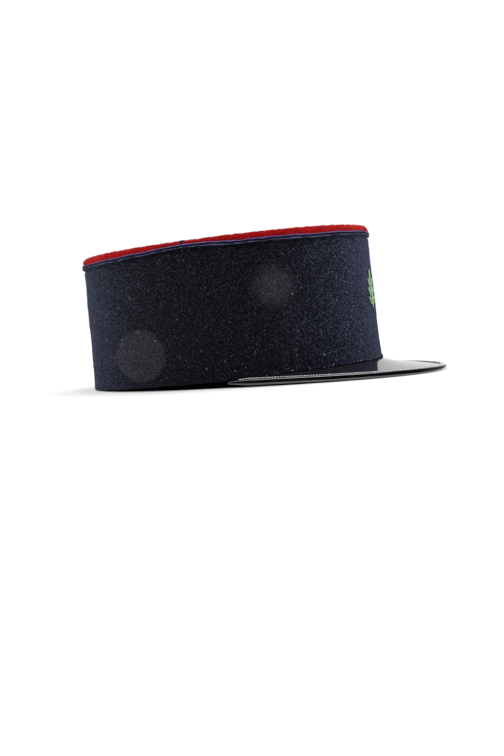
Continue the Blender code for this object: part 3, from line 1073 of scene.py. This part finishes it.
def satin_paths():
    """Stitches that slant from each leaf's midrib to its edge."""
    paths = []
    for root, ahead, aside, length in leaves():
        count = int(length / (SATIN * 2.05))
        for side in (-1, 1):
            for start in np.linspace(*SATIN_SPREAD, count):
                stop = min(start + SATIN_SLANT, 0.985)
                shares = np.linspace(0.0, 1.0, len(SATIN_SHAPE))
                along = start + (stop - start) * shares
                out = side * shares * leaf_half(stop) * 0.98
                flat = root + length * (along[:, None] * ahead + out[:, None] * aside)
                paths.append(flat)
    return np.array(paths)


def build_satin():
    flat = satin_paths()
    shares = np.linspace(0.0, 1.0, flat.shape[1])
    dome = 0.20 * MM + LEAF_PROUD * np.sin(math.pi * (0.12 + 0.80 * shares)) ** 0.7
    paths = on_front(flat, dome)
    radii = np.broadcast_to(SATIN * SATIN_SHAPE, paths.shape[:2])
    made = tubes(paths, front_normal(flat), radii, 6, 0.8)
    tones = np.random.default_rng(24).uniform(0.0, 1.0, len(paths))
    uvs = tube_tones(tones, paths.shape[1], 6)
    return add_piece("sprig_satin", *made, satin_green, "green_thread", uvs, ["emblem"])


def build_padding():
    """The felt padding under the stitches, one closed dome for each leaf."""
    parts = []
    shares = np.linspace(0.0, 1.0, 17)[1:-1]
    sides = np.linspace(-1.0, 1.0, 9)
    for root, ahead, aside, length in leaves():
        half = leaf_half(shares)[:, None] * 0.9
        flat = root + length * (shares[:, None, None] * ahead
                                + (half * sides)[..., None] * aside)
        top = on_front(flat, 0.05 * MM + LEAF_PROUD * 0.85 * (1 - sides ** 2) ** 0.6)
        back = on_front(flat, -0.15 * MM)
        rings = np.concatenate([top, back[:, ::-1]], 1)
        rows, columns = rings.shape[:2]
        faces = grid_faces(rows, columns, 0, 1)[0].tolist() + end_caps(0, rows * columns, columns)
        parts.append((rings.reshape(-1, 3), faces))
    return add_piece("sprig_padding", *joined(parts), shaded_padding, "green_thread")


CORD = 0.24 * MM
CORD_TURN = 1.5 * MM
CORD_STEP = 0.14 * MM
CORD_HEIGHTS = (0.42 * MM, 0.45 * MM, 0.55 * MM)   # round the leaves, on midribs and on the stem
STEM_ASIDE = 0.34 * MM


def twisted(flat, height):
    """Two twisted strands along a flat line, as capped tubes."""
    lengths = run_length(flat)
    even = np.linspace(0.0, lengths[-1], max(12, int(lengths[-1] / CORD_STEP)))
    line = resampled(flat, lengths, even)
    middle = on_front(line, height)
    normal = front_normal(line)
    across = unit(np.cross(np.gradient(middle, axis=0), normal))
    radii = np.full((1, len(even)), CORD * 0.62)
    radii[0, [0, -1]] *= 0.5
    strands = []
    for phase in (0.0, math.pi):
        turn = (even / CORD_TURN * math.tau + phase)[:, None]
        strand = middle + (across * np.cos(turn) + normal * np.sin(turn)) * CORD * 0.5
        strands.append(tubes(strand[None], normal[None], radii, 5))
    return strands


def build_outlines():
    """The paler cord round each leaf and along the stem."""
    leaf_height, rib_height, stem_height = CORD_HEIGHTS
    parts = []
    for root, ahead, aside, length in leaves():
        share = np.linspace(0.0, 1.0, 60)
        up_side = leaf_half(share) * 1.08
        for side in (-1, 1):
            flat = root + length * (share[:, None] * ahead + (side * up_side)[:, None] * aside)
            parts += twisted(flat, leaf_height)
        rib = root + length * (np.linspace(0.0, 0.8, 30)[:, None] * ahead)
        parts += twisted(rib, rib_height)
    for aside in (-STEM_ASIDE, STEM_ASIDE):
        stem = np.stack([np.full(50, aside), np.linspace(STEM_FOOT, STEM_HEAD, 50)], 1)
        parts += twisted(stem, stem_height)
    return add_piece("sprig_outline", *joined(parts), pale_green, "green_thread")


# Loose fibres and lint

# Length, lift and radius of each kind of fibre
WALL_FIBRE = (1.5 * MM, 0.30 * MM, 0.040 * MM)
SEAM_FIBRE = (0.9 * MM, 0.40 * MM, 0.050 * MM)
TOP_FIBRE = (1.3 * MM, 0.45 * MM, 0.045 * MM)
LINT_FIBRE = (1.1 * MM, 0.5 * MM, 0.085 * MM)
FIBRE_BEND = 0.22          # sideways, as a share of the length
FIBRE_ROOT = 0.06 * MM     # how deep they start in the cloth
WALL_FIBRES = 17000
SEAM_FIBRES = 1800
EDGE_FIBRES = 6500
FLAT_FIBRES = 4500
LINT_FIBRES = 120
LOOSE_CRUMBS = 110
SEAM_CRUMBS = 80
FLECKS = (
    # angle from the front in degrees, height above the rim, radius
    (14.0, 3.4 * MM, 0.42 * MM),
    (30.5, 44.5 * MM, 0.32 * MM),
    (40.5, 10.5 * MM, 0.42 * MM),
    (52.0, 51.5 * MM, 0.46 * MM),
    (54.5, 77.5 * MM, 0.28 * MM),
    (77.0, 6.0 * MM, 0.36 * MM),
    (80.0, 13.0 * MM, 0.28 * MM),
    (86.5, 9.0 * MM, 0.36 * MM),
    (94.5, 42.5 * MM, 0.26 * MM),
    (104.5, 30.0 * MM, 0.34 * MM),
    (129.5, 50.5 * MM, 0.30 * MM),
)


def wall_frame(angle, z):
    """Places on the cloth of the wall: point, outwards, along and up."""
    point = wall_point(angle, z, 0.0)
    outwards = unit(wall_point(angle, z, 1.0) - point)
    along = unit(np.cross(UP, outwards))
    above = z - lower_edge(angle)
    proud = cloth_ripple(point) + hem(angle, above, point) + flare(joint_height(angle) - z)
    return point + outwards * proud[:, None], outwards, along, np.cross(outwards, along)


def scatter(rng, count, heights, widest=math.pi):
    """Random places on the wall, up to an angle from the front, at shares of its height."""
    reach = arc_of(np.array(widest))
    angle = np.interp(rng.uniform(-reach, reach, count) % GIRTH, ARC_LENGTHS, ARC_ANGLES)
    low = lower_edge(angle)
    return wall_frame(angle, low + heights * (joint_height(angle) - low))


def lay_fibres(rng, point, outwards, along, upward, length, lift, radius):
    """Bent fibres that lie on a surface at random turns."""
    count = len(point)
    turn = rng.uniform(0.0, math.tau, count)[:, None]
    ahead = along * np.cos(turn) + upward * np.sin(turn)
    aside = np.cross(outwards, ahead)
    reach = (length * rng.uniform(0.5, 1.5, count))[:, None]
    bend = rng.normal(0.0, FIBRE_BEND, count)[:, None] * reach
    high = (lift * rng.uniform(0.2, 1.6, count))[:, None]
    starts = point - outwards * FIBRE_ROOT
    middles = point + ahead * reach * 0.5 + aside * bend + outwards * high * 0.55
    ends = point + ahead * reach + outwards * high
    return fibres(starts, middles, ends, radius * rng.uniform(0.7, 1.3, count))


def build_wall_nap():
    """Fibres all over the wall, and shorter ones along its seam with the peak."""
    rng = np.random.default_rng(21)
    spot = scatter(rng, WALL_FIBRES, rng.uniform(0.03, 0.97, WALL_FIBRES))
    parts = [lay_fibres(rng, *spot, *WALL_FIBRE)]
    spot = scatter(rng, SEAM_FIBRES, rng.uniform(0.0, 0.014, SEAM_FIBRES), 1.3)
    parts.append(lay_fibres(rng, *spot, *SEAM_FIBRE))
    return add_piece("wall_nap", *joined(parts), navy_nap, "navy_cloth")


def build_top_nap():
    """Fibres along the red edge and over the top."""
    rng = np.random.default_rng(22)
    profile = top_profile()
    angle = np.interp(rng.uniform(0.0, GIRTH, EDGE_FIBRES), ARC_LENGTHS, ARC_ANGLES)
    place = rng.uniform(-2.0, len(profile) - 1.0, EDGE_FIBRES)
    inset = np.interp(place, np.arange(len(profile)), profile[:, 0])
    drop = np.interp(place, np.arange(len(profile)), profile[:, 1])
    fall = np.maximum(0.0, -place) / 2.0
    drop = drop + fall * (strip_height(angle) - EDGE_ROUND)
    point = top_point(angle, inset, drop)
    side = unit(wall_point(angle, 0.05, 1.0) - wall_point(angle, 0.05, 0.0))
    slope = np.clip(place / 10.0, 0.0, 1.0)[:, None] * math.pi / 2
    outwards = side * np.cos(slope) + UP * np.sin(slope)
    spread = np.sqrt(rng.uniform(0.0, 1.0, FLAT_FIBRES))
    turn = rng.uniform(0.0, math.tau, FLAT_FIBRES)
    x, y = oval(turn, 1.0, -EDGE_ROUND - EDGE_FLAT - STEP_RUN)
    x, y = x * spread, y * spread
    flat = np.stack([x, y, top_plane(y) - SINK], 1)
    point = np.concatenate([point, flat])
    outwards = np.concatenate([outwards, np.tile(UP, (FLAT_FIBRES, 1))])
    along = unit(np.cross(outwards, np.array([0.6, -0.8, 0.02])))
    upward = np.cross(outwards, along)
    made = lay_fibres(rng, point, outwards, along, upward, *TOP_FIBRE)
    return add_piece("top_nap", *made, red_nap, "red_cloth")


def build_lint():
    """Pale lint caught on the wool: the photo's brightest flecks, and finer lint at random."""
    rng = np.random.default_rng(23)
    heights = np.concatenate([rng.uniform(0.02, 0.96, LINT_FIBRES // 2),
                              rng.uniform(0.01, 0.35, LINT_FIBRES - LINT_FIBRES // 2)])
    spot = scatter(rng, LINT_FIBRES, heights)
    parts = [lay_fibres(rng, *spot, *LINT_FIBRE)]
    turns, tall, sizes = np.array(FLECKS).T
    places = [scatter(rng, LOOSE_CRUMBS, rng.uniform(0.01, 0.97, LOOSE_CRUMBS)),
              scatter(rng, SEAM_CRUMBS, rng.uniform(0.0, 0.012, SEAM_CRUMBS), 1.25),
              wall_frame(np.radians(turns), tall)]
    point, outwards, along, upward = (np.concatenate(parts) for parts in zip(*places))
    crumbs = len(point)
    radius = np.concatenate([rng.uniform(0.08, 0.24, LOOSE_CRUMBS) * MM,
                             rng.uniform(0.13, 0.40, SEAM_CRUMBS) * MM, sizes])[:, None]
    shape = ((1, 0, 0), (0, 1, 0), (-1, 0, 0), (0, -1, 0), (0, 0, 1), (0, 0, -1))
    pattern = [(0, 1, 4), (1, 2, 4), (2, 3, 4), (3, 0, 4), (1, 0, 5), (2, 1, 5), (3, 2, 5),
               (0, 3, 5)]
    corners = []
    for x, y, z in shape:
        jitter = rng.uniform(0.6, 1.4, crumbs)[:, None] * radius
        corners.append(point + outwards * 0.05 * MM + (along * x + upward * y
                                                       + outwards * z * 0.6) * jitter)
    faces = [[crumb * len(shape) + corner for corner in face]
             for crumb in range(crumbs) for face in pattern]
    parts.append((np.stack(corners, 1).reshape(-1, 3), faces))
    return add_piece("lint", *joined(parts), lint_grey, "navy_cloth")


# Stage, light and camera

FLOOR = 6.0
WHITE = 1.0
FRONT_GAIN = 2.4           # how much brighter the light is from the cap's front
SOFTBOX = 5.0              # brightness of the overhead light in reflections
SOFTBOX_SPAN = (0.82, 0.93)   # height in the sky where it starts and is full
DIMMER = 0.5               # how much wider the dark side is in reflections
DARK_SIDE = 0.03           # brightness on the side that the photo was taken from
DARK_TOP = 0.12            # brightness straight above, away from the overhead light
FRONT_TINT = (0.86, 0.94, 1.0, 1.0)
BACKDROP = 1.05            # brightness behind the cap
SUN_STRENGTH = 3.2
SUN_SPREAD = math.radians(75.0)


def build_stage():
    mesh = bpy.data.meshes.new("floor")
    mesh.from_pydata([(-FLOOR, -FLOOR, 0.0), (FLOOR, -FLOOR, 0.0), (FLOOR, FLOOR, 0.0),
                      (-FLOOR, FLOOR, 0.0)], [], [(0, 1, 2, 3)])
    made, shader, place = new_material("floor_white")
    tone = noise(place, 6.0, 2.0, 0.5)
    feed(shader, {"Base Color": ramp(tone, ((0.3, 0.86), (0.7, 0.88))), "Roughness": 0.9,
                  "Specular IOR Level": 0.1})
    mesh.materials.append(made)
    floor = add_object("floor", mesh)


def light_world():
    """White all round, darker on the side that the photo was taken from."""
    world = bpy.data.worlds.new("studio")
    bpy.context.scene.world = world
    world.use_nodes = True
    tree = world.node_tree
    tree.nodes.clear()
    white = (WHITE, WHITE, WHITE, 1.0)

    def background(colour, strength):
        return node(tree, "Background", {"Color": colour, "Strength": strength}).outputs[0]

    direction = node(tree, "TexCoord").outputs["Generated"]
    toward = (CAP.to_3x3() @ CAMERA_PLACE).normalized()
    rays = node(tree, "LightPath")
    glossy = rays.outputs["Is Glossy Ray"]
    facing = maths("ADD", vector_maths("DOT_PRODUCT", direction, tuple(toward)),
                   maths("MULTIPLY", glossy, DIMMER))
    height = parts_of(direction)[2]
    front = ramp(facing, ((0.1, WHITE), (0.55, DARK_SIDE)))
    above = ramp(height, ((0.55, WHITE), (0.85, DARK_TOP)))
    ahead = vector_maths("DOT_PRODUCT", direction, (0.0, -1.0, 0.0))
    glow = mixed(ramp(ahead, ((0.0, 0.0), (0.9, 1.0))), times(front, above),
                 FRONT_TINT, "MULTIPLY")
    push = span(ahead, 0.0, 0.9, 1.0, FRONT_GAIN)
    flag = span(ahead, -0.1, 0.3, 1.0, 0.1)
    push = node(tree, "Mix", {0: glossy, 2: push, 3: flag}).outputs[0]
    lit = background(glow, push)
    box = maths("MULTIPLY", span(height, *SOFTBOX_SPAN, 0.0, SOFTBOX), glossy)
    lit = node(tree, "AddShader", {0: lit, 1: background(white, box)}).outputs[0]
    both = node(tree, "MixShader", {0: rays.outputs["Is Camera Ray"], 1: lit,
                                    2: background(white, BACKDROP)})
    output = node(tree, "OutputWorld", {"Surface": both.outputs[0]})
    output.is_active_output = True


def soft_sun():
    """An even light from overhead."""
    light = bpy.data.lights.new("overhead", "SUN")
    light.energy = SUN_STRENGTH
    light.angle = SUN_SPREAD
    made = add_object("overhead", light)
    made.location = UP
    made.visible_glossy = False


def place_camera():
    azimuth = math.radians(CAMERA_AZIMUTH)
    elevation = math.radians(CAMERA_ELEVATION)
    roll = math.radians(CAMERA_ROLL)
    back = Vector((math.sin(azimuth) * math.cos(elevation),
                   -math.cos(azimuth) * math.cos(elevation), math.sin(elevation)))
    level = Vector((math.cos(azimuth), math.sin(azimuth), 0.0))
    up = back.cross(level)
    across = level * math.cos(roll) + up * math.sin(roll)
    upward = up * math.cos(roll) - level * math.sin(roll)
    turn = Matrix((across, upward, back)).transposed().to_4x4()
    lens = bpy.data.cameras.new("camera")
    lens.sensor_fit = "VERTICAL"
    lens.sensor_width = SENSOR
    lens.sensor_height = SENSOR
    lens.lens = LENS
    lens.clip_start = 0.01
    lens.clip_end = 50.0
    camera = add_object("camera", lens)
    camera.matrix_world = CAP @ Matrix.Translation(CAMERA_PLACE) @ turn
    bpy.context.scene.camera = camera


build_wall()
build_top()
build_edge_braid()
for braid_node, braid_degrees in CROSS_BRAIDS:
    build_cross_braid(braid_node, braid_degrees)
build_peak()
build_binding()
build_stitches()
build_satin()
build_padding()
build_outlines()
build_wall_nap()
build_top_nap()
build_lint()
build_stage()
light_world()
soft_sun()
place_camera()
bpy.context.scene.view_settings.view_transform = "Standard"
